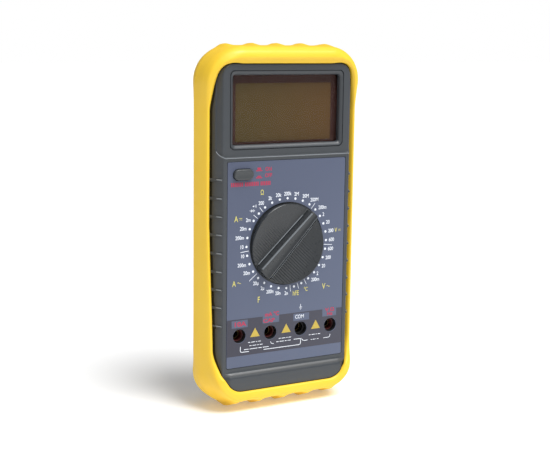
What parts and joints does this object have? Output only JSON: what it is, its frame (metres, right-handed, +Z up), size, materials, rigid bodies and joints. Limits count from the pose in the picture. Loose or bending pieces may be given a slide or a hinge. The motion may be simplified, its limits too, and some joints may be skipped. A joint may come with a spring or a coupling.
{
  "type": "digital multimeter",
  "caption": "Handheld digital multimeter in a rubber holster, with an LCD window, rotary range selector, push power button, banana input jacks and a fold-out rear stand.",
  "frame": {"origin": "centre of the outline on the surface that the holster's lower end stands on", "axes": "+X to the right seen from the front, +Y from the front panel to the back, +Z up along the meter from the jacks to the display"},
  "size_m": [0.0966, 0.034, 0.198],
  "materials": {
    "yellow_rubber": "satin, soft moulded",
    "charcoal_abs": "fine moulded texture",
    "panel_film": "printed film",
    "knob_plastic": "satin",
    "window_acrylic": "clear, polished",
    "lcd_glass": "polarised, unlit",
    "bezel_plastic": "satin",
    "zebra_rubber": "matt",
    "circuit_board": "solder mask",
    "brass": "plated",
    "steel": "zinc plated",
    "red_plastic": "satin",
    "black_plastic": "satin",
    "battery_sleeve": "printed metal jacket",
    "fuse_glass": "clear",
    "epoxy": "semi-gloss"
  },
  "bodies": {
    "housing": {"holster": "yellow_rubber", "front_case": "charcoal_abs", "rear_case": "charcoal_abs", "battery_door": "charcoal_abs", "battery_door_screw": "steel", "panel_overlay": "panel_film", "lcd_window": "window_acrylic", "battery_9v": "battery_sleeve", "main_board": "circuit_board", "lcd_glass": "lcd_glass", "lcd_frame": "bezel_plastic", "zebra_strip_lower": "zebra_rubber", "zebra_strip_upper": "zebra_rubber", "converter_chip": "epoxy", "buzzer_disc": "brass", "fuse": "fuse_glass", "fuse_clip_left": "brass", "fuse_clip_right": "brass", "current_shunt": "brass", "battery_lead_plus": "red_plastic", "battery_lead_minus": "black_plastic", "battery_snap": "black_plastic", "power_switch": "black_plastic", "board_screw_1": "steel", "board_screw_2": "steel", "board_screw_3": "steel", "board_screw_4": "steel", "case_screw_1": "steel", "case_screw_2": "steel", "case_screw_3": "steel", "case_screw_4": "steel", "jack_bush_10a": "red_plastic", "jack_bush_ma": "red_plastic", "jack_bush_com": "black_plastic", "jack_bush_v": "red_plastic", "jack_sleeve_10a": "brass", "jack_sleeve_ma": "brass", "jack_sleeve_com": "brass", "jack_sleeve_v": "brass"},
    "selector": {"selector_knob": "knob_plastic", "contact_rotor": "black_plastic", "rotor_screw": "steel", "detent_ball_left": "steel", "detent_ball_right": "steel", "detent_spring_left": "steel", "detent_spring_right": "steel", "contact_wiper_1": "brass", "contact_wiper_2": "brass", "contact_wiper_3": "brass", "contact_wiper_4": "brass"},
    "button": {"power_button": "knob_plastic", "switch_plunger": "black_plastic"},
    "stand": {"kickstand": "charcoal_abs"}
  },
  "joints": [
    {"name": "selector_turn", "type": "hinge", "parent": "housing", "child": "selector", "pos_m": [0, -0.01245, 0.091], "axis": [0, 1, 0], "continuous": true},
    {"name": "power_press", "type": "slide", "parent": "housing", "child": "button", "axis": [0, 1, 0], "range_m": [0, 0.0018], "stiffness_N_per_m": 400, "springref_m": -0.001},
    {"name": "stand_swing", "type": "hinge", "parent": "housing", "child": "stand", "pos_m": [0, 0.01275, 0.139], "axis": [1, 0, 0], "range_deg": [0, 55]}
  ]
}
